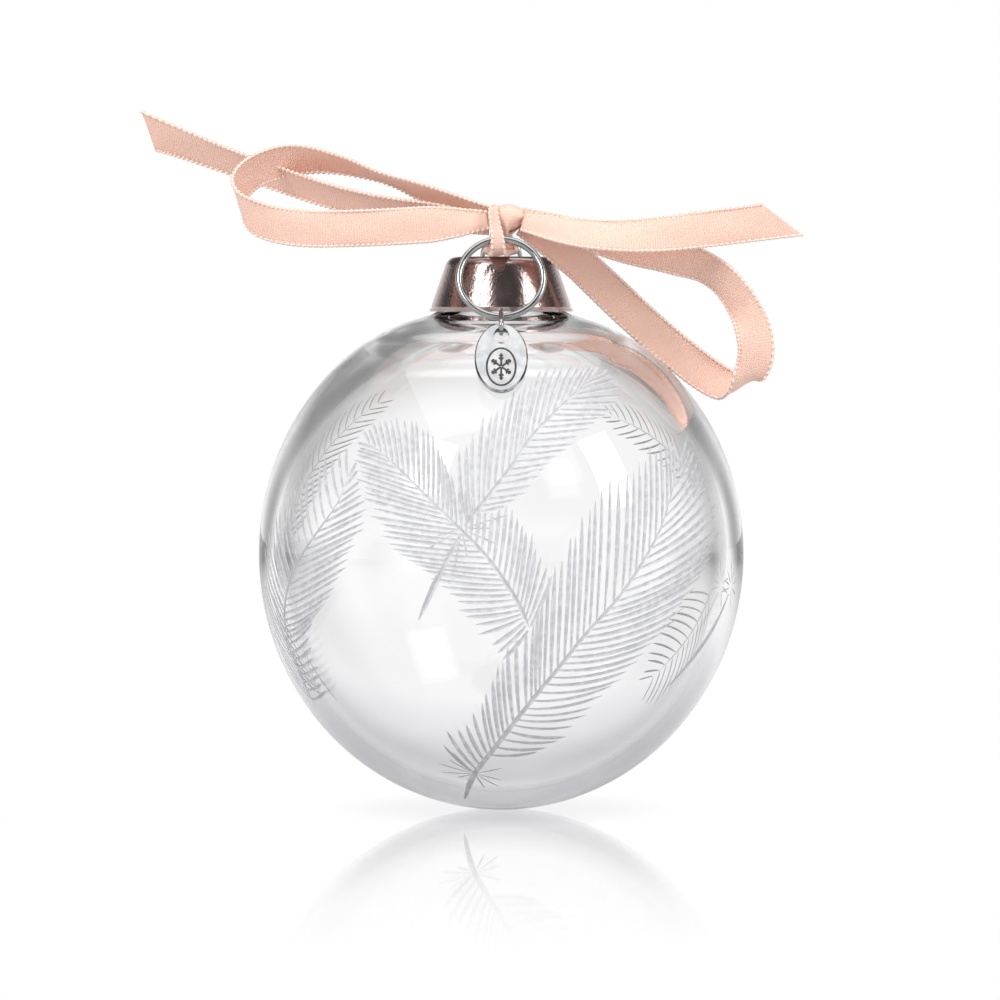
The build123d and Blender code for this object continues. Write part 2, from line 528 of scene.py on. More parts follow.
@dataclass(frozen=True)
class TagFinish:
    """Satin silver faces with a brightly polished bevel."""

    face_level: float
    middle: Place
    facing: Place

    def build(self, effects: Effects) -> bpy.types.Material:
        """Make the material; the face is told from the bevel by its distance off the middle."""
        material, board = new_material("tag_silver")
        marks = effects.marks(board, cloud=420.0, pits=5200.0)
        spot = board.add("ShaderNodeTexCoord").outputs["Object"]
        offset = board.add(
            "ShaderNodeVectorMath", {0: spot, 1: self.middle}, operation="SUBTRACT"
        ).outputs[0]
        level = board.add(
            "ShaderNodeVectorMath", {0: offset, 1: self.facing}, operation="DOT_PRODUCT"
        ).outputs["Value"]
        flat = board.math("GREATER_THAN", board.math("ABSOLUTE", level), self.face_level)
        tint = board.blend(
            marks.outputs["Smudge"], rgb(0.42, 0.43, 0.44), rgb(0.60, 0.61, 0.61)
        )
        rough = board.math("MULTIPLY_ADD", flat, 0.36, 0.14)
        height = board.math("MULTIPLY", marks.outputs["Pits"], flat)
        principled(
            board, {"Base Color": tint, "Metallic": 1.0, "Roughness": rough}, height, 0.55, 0.00005
        )
        return material


@dataclass(frozen=True)
class SatinFinish:
    """Single-faced satin ribbon, or its paler looped selvedge."""

    name: str
    deep: tuple[float, float, float]
    pale: tuple[float, float, float]
    sheen: float = 0.2
    roughness: float = 0.42
    thread_height: float = 0.55

    def build(self, effects: Effects) -> bpy.types.Material:
        """Make the material."""
        material, board = new_material(self.name)
        weave = board.add("ShaderNodeGroup", {"Along Pitch": 0.42, "Across Pitch": 0.40},
                          node_tree=effects.weave)
        shade = board.math("MULTIPLY", weave.outputs["Threads"], 0.7)
        shade = board.math("MULTIPLY_ADD", weave.outputs["Slub"], 0.45, shade, clamp=True)
        tint = board.blend(shade, rgb(*self.deep), rgb(*self.pale))
        rough = board.math("MULTIPLY_ADD", weave.outputs["Slub"], 0.2, self.roughness - 0.1)
        shader = principled(
            board,
            {"Base Color": tint, "Roughness": rough, "Sheen Weight": self.sheen,
             "Sheen Roughness": 0.35, "Specular IOR Level": 0.45},
            weave.outputs["Threads"], self.thread_height, 0.00009,
        )
        shader.inputs["Sheen Tint"].default_value = rgb(1.0, 0.86, 0.78)
        return material


@dataclass(frozen=True)
class EnamelFinish:
    """Dark fill of the tag's engraved lines."""

    def build(self, effects: Effects) -> bpy.types.Material:
        """Make the material."""
        material, board = new_material("dark_enamel")
        marks = effects.marks(board, cloud=1500.0, pits=6000.0)
        tint = board.blend(
            marks.outputs["Smudge"], rgb(0.022, 0.014, 0.011), rgb(0.06, 0.042, 0.034)
        )
        principled(board, {"Base Color": tint, "Roughness": 0.42}, marks.outputs["Pits"], 0.3)
        return material


class Finishes:
    """Every finish of the ornament, built once."""

    def __init__(self, tag: "TagFinish") -> None:
        """Build the shared groups and then the materials."""
        effects = Effects()
        self.crystal = CrystalFinish().build(effects)
        self.cut = CutFinish().build(effects)
        self.cap = MetalFinish(
            "rose_gunmetal", colour=(0.40, 0.31, 0.30), cloudy=(0.50, 0.39, 0.37),
            roughness=0.14, smudge=0.10, pit_scale=2600.0, pit_strength=0.7,
        ).build(effects)
        self.steel = MetalFinish(
            "polished_steel", colour=(0.33, 0.34, 0.34), cloudy=(0.45, 0.45, 0.44),
            roughness=0.14, smudge=0.12, pit_scale=3200.0, pit_strength=0.25,
        ).build(effects)
        self.wire = MetalFinish(
            "spring_wire", colour=(0.60, 0.60, 0.60), cloudy=(0.72, 0.71, 0.70),
            roughness=0.18, smudge=0.14, pit_scale=3000.0, pit_strength=0.25,
        ).build(effects)
        self.tag = tag.build(effects)
        self.enamel = EnamelFinish().build(effects)
        self.satin = SatinFinish(
            "peach_satin", deep=(0.86, 0.47, 0.35), pale=(0.97, 0.70, 0.59)
        ).build(effects)
        self.selvedge = SatinFinish(
            "pale_selvedge", deep=(0.90, 0.60, 0.48), pale=(0.97, 0.82, 0.74),
            sheen=0.3, roughness=0.5, thread_height=0.2,
        ).build(effects)


# --- the ball and its cut feathers


@dataclass(frozen=True)
class Vane:
    """One side of a feather.

    Each entry of tips is a place on the vane's edge, as degrees round from the front and a
    height, and the share of the spine's length where the barb that ends there has its root.
    """

    tips: Sequence[tuple[float, float, float]]
    barbs: int
    bow: float = 0.08


@dataclass(frozen=True)
class Feather:
    """One cut feather; a place on the ball is degrees round from the front and a height.

    Boldness is the size of its barbs' grooves as a share of the usual size.
    """

    spine: Sequence[Mark]
    vanes: Sequence[Vane]
    spine_width: float = 0.85
    boldness: float = 1.0


@dataclass(frozen=True)
class Burst:
    """Thin rays cut round the foot of a feather, as pairs of angle and length."""

    centre: Mark
    rays: Sequence[Mark]


FRONT_FEATHERS = (
    Feather(
        ((-25.0, 2.8), (-10.7, 7.9), (0.2, 14.3), (7.6, 20.3), (14.3, 26.1), (20.7, 31.8),
         (27.5, 36.8), (33.3, 41.9), (39.3, 47.4), (43.4, 51.9), (47.5, 56.0), (54.3, 61.0)),
        (
            Vane(((-19.7, 13.8, 0.14), (-15.4, 16.0, 0.16), (-9.9, 17.5, 0.19),
                  (-4.3, 21.9, 0.23), (1.7, 30.6, 0.31), (6.7, 33.0, 0.36),
                  (10.5, 41.7, 0.41), (17.1, 48.2, 0.49), (25.9, 56.0, 0.58),
                  (32.4, 57.7, 0.65), (38.6, 60.2, 0.71), (44.0, 61.4, 0.77),
                  (51.1, 62.3, 0.90)), 37, 0.05),
            Vane(((13.7, 12.0, 0.21), (21.1, 14.9, 0.29), (28.5, 21.6, 0.35),
                  (37.0, 26.7, 0.43), (51.4, 37.7, 0.54), (61.1, 45.3, 0.63),
                  (62.0, 49.4, 0.70), (62.3, 56.2, 0.79), (60.1, 58.8, 0.85),
                  (57.2, 61.8, 0.95)), 35, 0.09),
        ),
        0.95,
    ),
    Feather(
        ((-8.7, 48.3), (-2.9, 53.4), (2.2, 57.7), (7.3, 62.2), (14.2, 66.0), (22.5, 69.3),
         (34.0, 72.6)),
        (
            Vane(((-10.9, 60.7, 0.02), (-8.3, 63.0, 0.06), (-0.7, 68.0, 0.16),
                  (6.6, 70.9, 0.32), (14.8, 73.6, 0.47), (22.4, 74.1, 0.58),
                  (30.8, 74.2, 0.72), (35.9, 73.6, 0.88)), 20, 0.06),
            Vane(((1.3, 51.8, 0.08), (7.5, 54.4, 0.18), (10.4, 57.4, 0.26),
                  (18.5, 60.9, 0.41), (25.6, 64.2, 0.53), (31.7, 65.9, 0.64),
                  (36.3, 67.4, 0.71), (39.2, 69.4, 0.77), (40.8, 71.5, 0.84),
                  (38.6, 73.0, 0.94)), 22, 0.09),
        ),
        0.75,
    ),
    Feather(
        ((6.6, 32.4), (4.2, 36.1), (0.5, 40.2), (-3.8, 44.2), (-9.2, 48.0), (-14.6, 51.3),
         (-19.7, 54.3), (-25.9, 57.5), (-31.9, 60.0), (-38.7, 62.0)),
        (
            Vane(((-0.4, 26.7, 0.0), (-2.5, 29.3, 0.03), (-8.8, 33.7, 0.07),
                  (-12.8, 37.6, 0.13), (-19.2, 42.1, 0.21), (-24.8, 44.3, 0.28),
                  (-31.6, 49.1, 0.42), (-34.7, 53.1, 0.50), (-37.5, 55.6, 0.58),
                  (-38.9, 57.6, 0.67), (-39.7, 59.6, 0.78), (-40.1, 61.4, 0.90)), 34, 0.06),
            Vane(((12.0, 41.7, 0.0), (8.3, 45.8, 0.06), (5.7, 48.8, 0.12), (2.1, 52.0, 0.22),
                  (-2.1, 51.6, 0.30), (-6.2, 53.2, 0.38), (-12.4, 56.9, 0.47),
                  (-15.0, 60.4, 0.53), (-18.2, 62.9, 0.59), (-24.4, 65.4, 0.67),
                  (-32.8, 65.9, 0.79), (-36.4, 64.8, 0.87), (-39.3, 63.2, 0.95)), 35, 0.05),
        ),
        0.8,
    ),
    Feather(
        ((-67.6, 18.0), (-65.5, 24.0), (-65.2, 30.4), (-61.2, 36.4), (-54.2, 42.3),
         (-46.8, 47.7), (-41.8, 52.0), (-39.5, 57.0)),
        (
            Vane(((-54.2, 21.3, 0.03), (-54.0, 23.9, 0.10), (-51.3, 32.2, 0.25),
                  (-42.9, 37.0, 0.33), (-36.6, 43.3, 0.45), (-32.8, 47.8, 0.60),
                  (-32.7, 51.1, 0.74), (-34.5, 54.1, 0.86), (-38.2, 58.6, 0.97)), 29, 0.10),
            Vane(((-76.0, 24.0, 0.03), (-78.0, 33.3, 0.15), (-77.0, 40.6, 0.29),
                  (-71.6, 47.1, 0.42), (-66.7, 50.6, 0.51), (-61.3, 54.1, 0.61),
                  (-53.0, 58.0, 0.77), (-49.0, 59.9, 0.87), (-42.7, 60.5, 0.97)), 27, 0.08),
        ),
        0.75,
    ),
)

BACK_FEATHERS = (
    Feather(
        ((-101.0, 42.0), (-106.0, 51.0), (-112.0, 59.5), (-119.0, 67.0), (-128.0, 72.5)),
        (
            Vane(((-89.0, 52.0, 0.05), (-93.0, 61.0, 0.3), (-100.0, 68.0, 0.55),
                  (-110.0, 73.0, 0.8), (-122.0, 75.0, 0.96)), 18, 0.1),
            Vane(((-116.0, 48.0, 0.05), (-122.0, 56.0, 0.3), (-128.0, 63.0, 0.55),
                  (-134.0, 68.5, 0.8), (-134.0, 72.5, 0.96)), 18, 0.1),
        ),
        0.5, 0.6,
    ),
    Feather(
        ((110.0, 54.0), (116.0, 59.5), (123.0, 64.0), (131.0, 67.0), (140.0, 69.0)),
        (
            Vane(((104.0, 62.0, 0.05), (110.0, 67.0, 0.3), (119.0, 70.5, 0.55),
                  (129.0, 72.5, 0.8), (139.0, 71.5, 0.96)), 14, 0.1),
            Vane(((119.0, 54.0, 0.05), (128.0, 58.5, 0.3), (137.0, 62.5, 0.55),
                  (143.0, 66.0, 0.8), (144.0, 68.5, 0.96)), 14, 0.1),
        ),
        0.4, 0.55,
    ),
    Feather(
        ((103.0, 35.0), (109.0, 29.0), (116.0, 23.5), (124.0, 18.5)),
        (
            Vane(((122.0, 34.0, 0.05), (128.0, 29.5, 0.4), (131.0, 24.5, 0.7),
                  (130.0, 18.0, 0.96)), 12, 0.1),
            Vane(((97.0, 24.0, 0.05), (101.0, 18.0, 0.4), (109.0, 13.5, 0.7),
                  (121.0, 14.0, 0.96)), 12, 0.1),
        ),
        0.5, 0.6,
    ),
)

BURSTS = (
    Burst((-9.0, 48.1), ((3, 5.2), (-22, 6.4), (18, 8.4), (-52, 3.2), (-78, 5.2), (-100, 9.2),
                         (-150, 8.4), (-165, 4.5), (150, 4.2), (100, 4.0), (62, 4.4))),
    Burst((-10.4, 8.1), ((160, 6.6), (138, 5.4), (185, 6.0), (118, 6.8), (-30, 4.8), (-55, 6.0),
                         (-80, 5.2), (-105, 4.2), (208, 3.8), (15, 5.0))),
    Burst((69.8, 37.6), ((100, 4.6), (70, 3.4), (130, 3.8), (20, 3.6), (-25, 4.0), (-70, 4.6),
                         (190, 4.4), (160, 3.2))),
    Burst((-97.0, 26.5), ((80, 3.6), (120, 4.4), (-60, 5.0), (-95, 6.5), (-130, 4.2), (30, 4.0))),
)

SPIKES = (
    ((-9.3, 47.2), (-14.6, 40.2), (-19.7, 33.3)),
    ((68.5, 36.4), (63.2, 31.5), (56.0, 26.2), (48.8, 21.5)),
    ((-97.0, 25.5), (-99.0, 20.0), (-102.0, 15.0)),
)


@dataclass(frozen=True)
class GlassBall:
    """Thick-walled ball and neck, with feathers cut into its outside."""

    radius: float = 40.0
    equator: float = 42.4
    upper_axis: float = 42.1
    wall: float = 2.8
    floor_wall: float = 3.0
    cavity_upper_axis: float = 37.0
    shoulder_start: float = 77.0
    shoulder: Sequence[Mark] = ((19.3, 78.85), (16.4, 80.15), (12.6, 81.4), (9.7, 82.8))
    neck_radius: float = 7.6
    neck_straight: float = 86.5
    rim_round: float = 0.7
    bore_radius: float = 5.6
    bore_start: float = 81.5
    mouth_radius: float = 8.6
    segments: int = 200
    barb_half_width: float = 0.36
    barb_depth: float = 0.19
    spine_depth: float = 0.26
    ray_half_width: float = 0.15
    ray_depth: float = 0.13
    spike_half_width: float = 0.55
    spike_depth: float = 0.3
    cutter_rise: float = 0.06
    outer_skin: float = 0.8
    cut_lean: float = 9.0

    def settle(self, points: np.ndarray) -> np.ndarray:
        """Move points onto the outside of the ball, along lines from its middle."""
        offset = points - (0.0, 0.0, self.equator)
        axis = np.where(offset[..., 2] > 0, self.upper_axis, self.equator)
        flat = (offset[..., 0] ** 2 + offset[..., 1] ** 2) / self.radius**2
        size = np.sqrt(flat + (offset[..., 2] / axis) ** 2)
        return offset / size[..., None] + (0.0, 0.0, self.equator)

    def facing(self, points: np.ndarray) -> np.ndarray:
        """Direction straight out of the ball at points on its outside."""
        offset = points - (0.0, 0.0, self.equator)
        axis = np.where(offset[..., 2] > 0, self.upper_axis, self.equator)
        scale = np.stack([np.full(axis.shape, self.radius**2)] * 2 + [axis**2], axis=-1)
        return unit(offset / scale)

    def spot(self, marks: Sequence[Mark]) -> np.ndarray:
        """Points on the ball at pairs of degrees round from the front and height."""
        angle, height = np.radians([m[0] for m in marks]), np.array([m[1] for m in marks])
        axis = np.where(height > self.equator, self.upper_axis, self.equator)
        reach = self.radius * np.sqrt(1 - ((height - self.equator) / axis) ** 2)
        return np.stack([reach * np.sin(angle), -reach * np.cos(angle), height], axis=1)

    def outline(self) -> np.ndarray:
        """Half outline of the glass as radius and height, from outer floor to cavity floor."""
        shoulder = math.asin((self.shoulder_start - self.equator) / self.upper_axis)
        low = np.linspace(-math.pi / 2, 0, 46)
        high = np.linspace(0, shoulder, 34)[1:]
        outer = [
            np.stack([self.radius * np.cos(low), self.equator * (1 + np.sin(low))], 1),
            np.stack([self.radius * np.cos(high),
                      self.equator + self.upper_axis * np.sin(high)], 1),
        ]
        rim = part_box("glass_ball")[1].z / MM
        lean = (-self.radius * math.sin(shoulder), self.upper_axis * math.cos(shoulder))
        neck = flowing(
            [outer[1][-1], *self.shoulder, (self.neck_radius, self.neck_straight)],
            6, (lean, (0, 1)),
        )
        turn = np.linspace(0, math.pi / 2, 6)
        outer_round = np.stack(
            [self.neck_radius - self.rim_round * (1 - np.cos(turn)),
             rim - self.rim_round * (1 - np.sin(turn))], 1)
        inner_round = np.stack(
            [self.bore_radius + self.rim_round * (1 - np.sin(turn)),
             rim - self.rim_round * (1 - np.cos(turn))], 1)
        cavity = self.radius - self.wall
        mouth = math.acos(self.mouth_radius / cavity)
        down = np.linspace(mouth, 0, 40)
        under = np.linspace(0, -math.pi / 2, 40)[1:]
        side = np.stack([cavity * np.cos(down),
                         self.equator + self.cavity_upper_axis * np.sin(down)], 1)
        floor = np.stack([cavity * np.cos(under),
                          self.equator + (self.equator - self.floor_wall) * np.sin(under)], 1)
        rise = (cavity * math.sin(mouth), -self.cavity_upper_axis * math.cos(mouth))
        throat = flowing([(self.bore_radius, self.bore_start), side[0]], 8, ((0, -1), rise))
        return np.concatenate(
            [*outer, neck[1:], outer_round, inner_round, throat, side[1:], floor]
        )

    def turned(self) -> bpy.types.Object:
        """Revolve the outline into a closed mesh."""
        outline = self.outline()
        around = np.linspace(0, 2 * math.pi, self.segments, endpoint=False)
        rows = np.stack(
            [outline[1:-1, :1] * np.sin(around), -outline[1:-1, :1] * np.cos(around),
             np.repeat(outline[1:-1, 1:], self.segments, 1)], axis=-1)
        count = rows.shape[0] * self.segments
        index = np.arange(count).reshape(rows.shape[:2])
        quads = np.stack([index[:-1], np.roll(index[:-1], -1, 1), np.roll(index[1:], -1, 1),
                          index[1:]], -1).reshape(-1, 4)
        faces = quads.tolist()
        for row, pole in ((index[0], count), (index[-1][::-1], count + 1)):
            faces += [(b, a, pole) for a, b in zip(row.tolist(), np.roll(row, -1).tolist())]
        points = np.concatenate([rows.reshape(-1, 3), [[0, 0, outline[0, 1]]],
                                 [[0, 0, outline[-1, 1]]]])
        mesh = bpy.data.meshes.new("cut_glass_ball")
        mesh.from_pydata((points * MM).tolist(), [], faces)
        made = bpy.data.objects.new("cut_glass_ball", mesh)
        bpy.context.scene.collection.objects.link(made)
        outward(mesh)
        return made

    def groove(self, line: np.ndarray, half_width: float, depth: float,
               shape: Callable[[np.ndarray], np.ndarray]) -> np.ndarray:
        """Rows of the three-sided cutter for one groove.

        Args:
            line: Points along the groove, near the ball's outside.
            half_width: Half width of the groove at its widest.
            depth: Depth there.
            shape: Width at shares of the length, as a share of the widest.

        Returns:
            Array of rows, 3 points in a row, and 3.
        """
        line = self.settle(line)
        out = self.facing(line)
        along = unit(np.gradient(line, axis=0))
        across = unit(np.cross(along, out))
        run = distances(line)
        share = np.maximum(shape(run / run[-1]), 0.0)[:, None]
        slope = half_width / depth
        top = line + out * self.cutter_rise
        reach = across * (half_width * share + slope * self.cutter_rise)
        low = line - out * (depth * share - 0.25 * self.cutter_rise * (share <= 0))
        return np.stack([top - reach, low, top + reach], axis=1)

    @staticmethod
    def barb_shape(share: np.ndarray) -> np.ndarray:
        """Width along a barb: narrow at its root, widest past the middle, pointed at the end."""
        swell = np.interp(share, (0, 0.12, 0.5, 0.8, 0.93, 1), (0.45, 0.7, 1.0, 0.85, 0.45, 0))
        return swell

    @staticmethod
    def spine_shape(share: np.ndarray) -> np.ndarray:
        """Width along a spine: it thins steadily towards the tip."""
        return np.interp(share, (0, 0.03, 0.12, 0.75, 1), (0, 0.7, 1.0, 0.55, 0))

    @staticmethod
    def spike_shape(share: np.ndarray) -> np.ndarray:
        """Width along a quill's free end: a long thin leaf."""
        return np.interp(share, (0, 0.25, 0.6, 0.88, 1), (0.4, 0.85, 1.0, 0.6, 0))

    def barbs(self, feather: Feather, vane: Vane, dice: np.random.Generator) -> list[np.ndarray]:
        """Cutters of the barbs on one side of a feather.

        Args:
            feather: The feather.
            vane: Its side.
            dice: Source of small irregularities.

        Returns:
            One array of rows for each barb.
        """
        spine = self.settle(flowing(self.spot(feather.spine), 12))
        edge = self.settle(flowing(self.spot([tip[:2] for tip in vane.tips]), 12))
        roots = np.interp(np.linspace(0, 1, len(edge)), np.linspace(0, 1, len(vane.tips)),
                          [tip[2] for tip in vane.tips])
        ground = distances(edge) / distances(edge)[-1] + roots
        wanted = np.linspace(ground[0], ground[-1], vane.barbs)
        loose = dice.uniform(-0.2, 0.2, vane.barbs) * (wanted[1] - wanted[0])
        stretch = dice.uniform(0.90, 1.03, vane.barbs)
        thick = dice.uniform(0.82, 1.15, vane.barbs)
        tips = np.stack([np.interp(wanted + loose, ground, column) for column in edge.T], 1)
        shares = np.interp(wanted, ground, roots)
        feet = at_shares(spine, shares)
        ahead, behind = at_shares(spine, shares + 0.02), at_shares(spine, shares - 0.02)
        t = np.linspace(0, 1, 8)[:, None]
        cutters = []
        for foot, tip, along, reach, width in zip(
            feet, tips, unit(ahead - behind), stretch, thick
        ):
            tip = foot + (tip - foot) * reach
            length = np.linalg.norm(tip - foot)
            start = foot + (tip - foot) * (0.4 / length)
            bend = (start + tip) / 2 - along * vane.bow * length
            line = start * (1 - t) ** 2 + 2 * bend * t * (1 - t) + tip * t**2
            cutters.append(
                self.groove(line, self.barb_half_width * feather.boldness * width,
                            self.barb_depth * feather.boldness, self.barb_shape)
            )
        return cutters

    def rays(self, burst: Burst) -> list[np.ndarray]:
        """Cutters of the rays round a feather's foot."""
        centre = self.spot([burst.centre])[0]
        out = self.facing(centre)
        right = unit(np.cross((0.0, 0.0, 1.0), out))
        up = np.cross(out, right)
        cutters = []
        for angle, length in burst.rays:
            turn = math.radians(angle)
            aim = right * math.cos(turn) + up * math.sin(turn)
            line = centre + aim * np.linspace(0.8, length, 6)[:, None]
            cutters.append(
                self.groove(line, self.ray_half_width, self.ray_depth, self.spike_shape)
            )
        return cutters

    def cutters(self) -> list[bpy.types.Object]:
        """Cutting tools, each with grooves that stay clear of each other."""
        dice = np.random.default_rng(SEED)
        sets: list[list[np.ndarray]] = []
        for feather in (*FRONT_FEATHERS, *BACK_FEATHERS):
            for vane in feather.vanes:
                barbs = self.barbs(feather, vane, dice)
                sets += [barbs[0::2], barbs[1::2]]
            spine = at_shares(self.settle(flowing(self.spot(feather.spine), 12)),
                              np.linspace(0, 1, 40))
            sets.append([self.groove(spine, feather.spine_width / 2, self.spine_depth,
                                     self.spine_shape)])
        sets += [self.rays(burst) for burst in BURSTS]
        for marks in SPIKES:
            line = at_shares(flowing(self.spot(marks), 8), np.linspace(0, 1, 14))
            sets.append([self.groove(line, self.spike_half_width, self.spike_depth,
                                     self.spike_shape)])
        tools = []
        for number, grooves in enumerate(sets):
            shell = Shell()
            for rows in grooves:
                shell.tube(rows)
            tools.append(shell.piece(f"cutter_{number}", ()))
        return tools

    def engraved(self, ball: bpy.types.Object) -> None:
        """Cut every groove into the ball's mesh."""
        tools = self.cutters()
        for tool in tools:
            cut = ball.modifiers.new("cut", "BOOLEAN")
            cut.operation, cut.solver, cut.object = "DIFFERENCE", "MANIFOLD", tool
        bpy.context.view_layer.update()
        view = bpy.context.evaluated_depsgraph_get()
        result = bpy.data.meshes.new_from_object(ball.evaluated_get(view))
        ball.modifiers.clear()
        old, ball.data = ball.data, result
        bpy.data.meshes.remove(old)
        for tool in tools:
            mesh = tool.data
            bpy.data.objects.remove(tool)
            bpy.data.meshes.remove(mesh)

    def shade(self, mesh: bpy.types.Mesh) -> None:
        """Tell the cut faces from the clear ones and give each its own shading direction."""
        faces, corners = len(mesh.polygons), len(mesh.loops)
        centres, normals = np.zeros(faces * 3), np.zeros(faces * 3)
        mesh.polygons.foreach_get("center", centres)
        mesh.polygons.foreach_get("normal", normals)
        centres, normals = centres.reshape(-1, 3) / MM, normals.reshape(-1, 3)
        sizes, vertices = np.zeros(faces, int), np.zeros(corners, int)
        mesh.polygons.foreach_get("loop_total", sizes)
        mesh.loops.foreach_get("vertex_index", vertices)
        places = np.zeros(len(mesh.vertices) * 3)
        mesh.vertices.foreach_get("co", places)
        places = places.reshape(-1, 3) / MM
        shell = self.settle(centres)
        depth = np.linalg.norm(centres - shell, axis=1)
        outside = (depth < self.outer_skin) & (centres[:, 2] < self.shoulder_start)
        even = np.einsum("ij,ij->i", normals, self.facing(shell))
        cut = outside & (even < math.cos(math.radians(self.cut_lean)))
        owner = np.repeat(np.arange(faces), sizes)
        split = np.zeros((corners, 3))
        clear = (outside & ~cut)[owner]
        split[clear] = self.facing(self.settle(places[vertices[clear]]))
        split[cut[owner]] = normals[owner[cut[owner]]]
        mesh.polygons.foreach_set("material_index", cut.astype(int))
        mesh.polygons.foreach_set("use_smooth", [True] * faces)
        mesh.normals_split_custom_set(split.tolist())
        mesh.update()

    def build(self, finishes: Finishes) -> bpy.types.Object:
        """Make, cut and dress the ball."""
        ball = self.turned()
        self.engraved(ball)
        ball.data.materials.clear()
        ball.data.materials.append(finishes.crystal)
        ball.data.materials.append(finishes.cut)
        self.shade(ball.data)
        return place_piece(ball, Body.BALL, ["glass_ball"])


# --- the bow


@dataclass(frozen=True)
class Stretch:
    """One free stretch of ribbon.

    Each point of the route has a width vector that runs from the ribbon's lower or inner edge
    to its upper or outer one; a vector shorter than one narrows the ribbon there.
    """

    node: str
    route: Sequence[Place]
    widths: Sequence[Place]
    slant: float = 0.0
    far_end: str = "object"
    lay: str = "loose"
    cup: float = 0.25


STRETCHES = (
    Stretch(
        "ribbon_tail_left",
        ((-2.0, -8.0, 96.2), (-9.7, -5.5, 97.6), (-19.4, -3.0, 98.9), (-29.0, 0.5, 101.3),
         (-38.0, 3.2, 104.5), (-47.8, 4.0, 108.0), (-58.3, 3.0, 112.0)),
        ((0, -0.17, 0.52), (0, -0.54, 0.72), (0.1, -0.75, 0.65), (0.2, -0.78, 0.58),
         (0.25, -0.75, 0.6), (0.25, -0.7, 0.67), (0.3, -0.4, 0.86)),
        slant=4.7, far_end="bare",
    ),
    Stretch(
        "ribbon_loop_left",
        ((-1.9, -9.3, 98.3), (-10.8, -5.5, 100.7), (-19.0, -2.0, 104.1), (-27.2, 1.0, 106.8),
         (-35.2, 1.0, 107.4), (-41.6, -2.5, 104.9), (-43.6, -7.5, 101.0), (-40.2, -11.0, 97.1),
         (-32.8, -12.8, 95.5), (-22.9, -12.8, 95.7), (-11.5, -11.8, 96.3), (-2.1, -10.3, 97.1)),
        ((0, -0.3, 0.4), (0.27, -0.76, 0.36), (0.3, -0.95, 0.08), (0.1, -0.85, 0.5),
         (-0.1, -0.5, 0.86), (-0.2, -0.45, 0.87), (-0.3, -0.4, 0.87), (-0.2, -0.2, 0.96),
         (0, 0, 1), (0, 0, 1), (0.05, 0.1, 0.99), (0, 0.11, 0.52)),
    ),
    Stretch(
        "ribbon_loop_right",
        ((3.4, -8.4, 97.8), (12.0, -7.6, 95.2), (20.5, -7.5, 92.8), (29.0, -7.5, 91.2),
         (35.3, -8.0, 88.6), (38.9, -10.0, 84.2), (41.2, -11.2, 79.2), (41.6, -11.2, 74.4),
         (39.6, -9.8, 70.3), (37.6, -4.4, 69.6), (33.6, -2.4, 71.8), (28.8, -1.6, 75.6),
         (23.2, -2.0, 80.3), (17.2, -3.5, 86.0), (11.2, -5.7, 91.6), (3.2, -8.2, 96.0)),
        ((0, 0.15, 0.48), (0.08, 0.16, 0.76), (0.15, 0.2, 0.95), (0.2, 0, 0.97),
         (0.5, -0.6, 0.62), (0.7, -0.5, 0.5), (0.95, 0.1, 0.25), (1, 0.1, 0), (0.85, 0, 0.4),
         (0.75, 0, 0.6), (0.62, 0, 0.78), (0.6, 0, 0.78), (0.6, 0, 0.78), (0.6, 0, 0.78),
         (0.54, 0, 0.7), (0.3, 0, 0.39)),
    ),
    Stretch(
        "ribbon_tail_right",
        ((3.5, -10.6, 96.7), (10.2, -12.2, 95.2), (18.5, -12.5, 94.4), (26.0, -12.8, 94.7),
         (34.0, -12.8, 95.7), (45.6, -12.0, 97.1)),
        ((0, 0.15, 0.48), (0.09, 0.42, 0.73), (0.05, 0.5, 0.85), (0, 0.3, 0.95),
         (0, 0.1, 1), (-0.1, 0, 1)),
        slant=-6.2, far_end="bare",
    ),
)


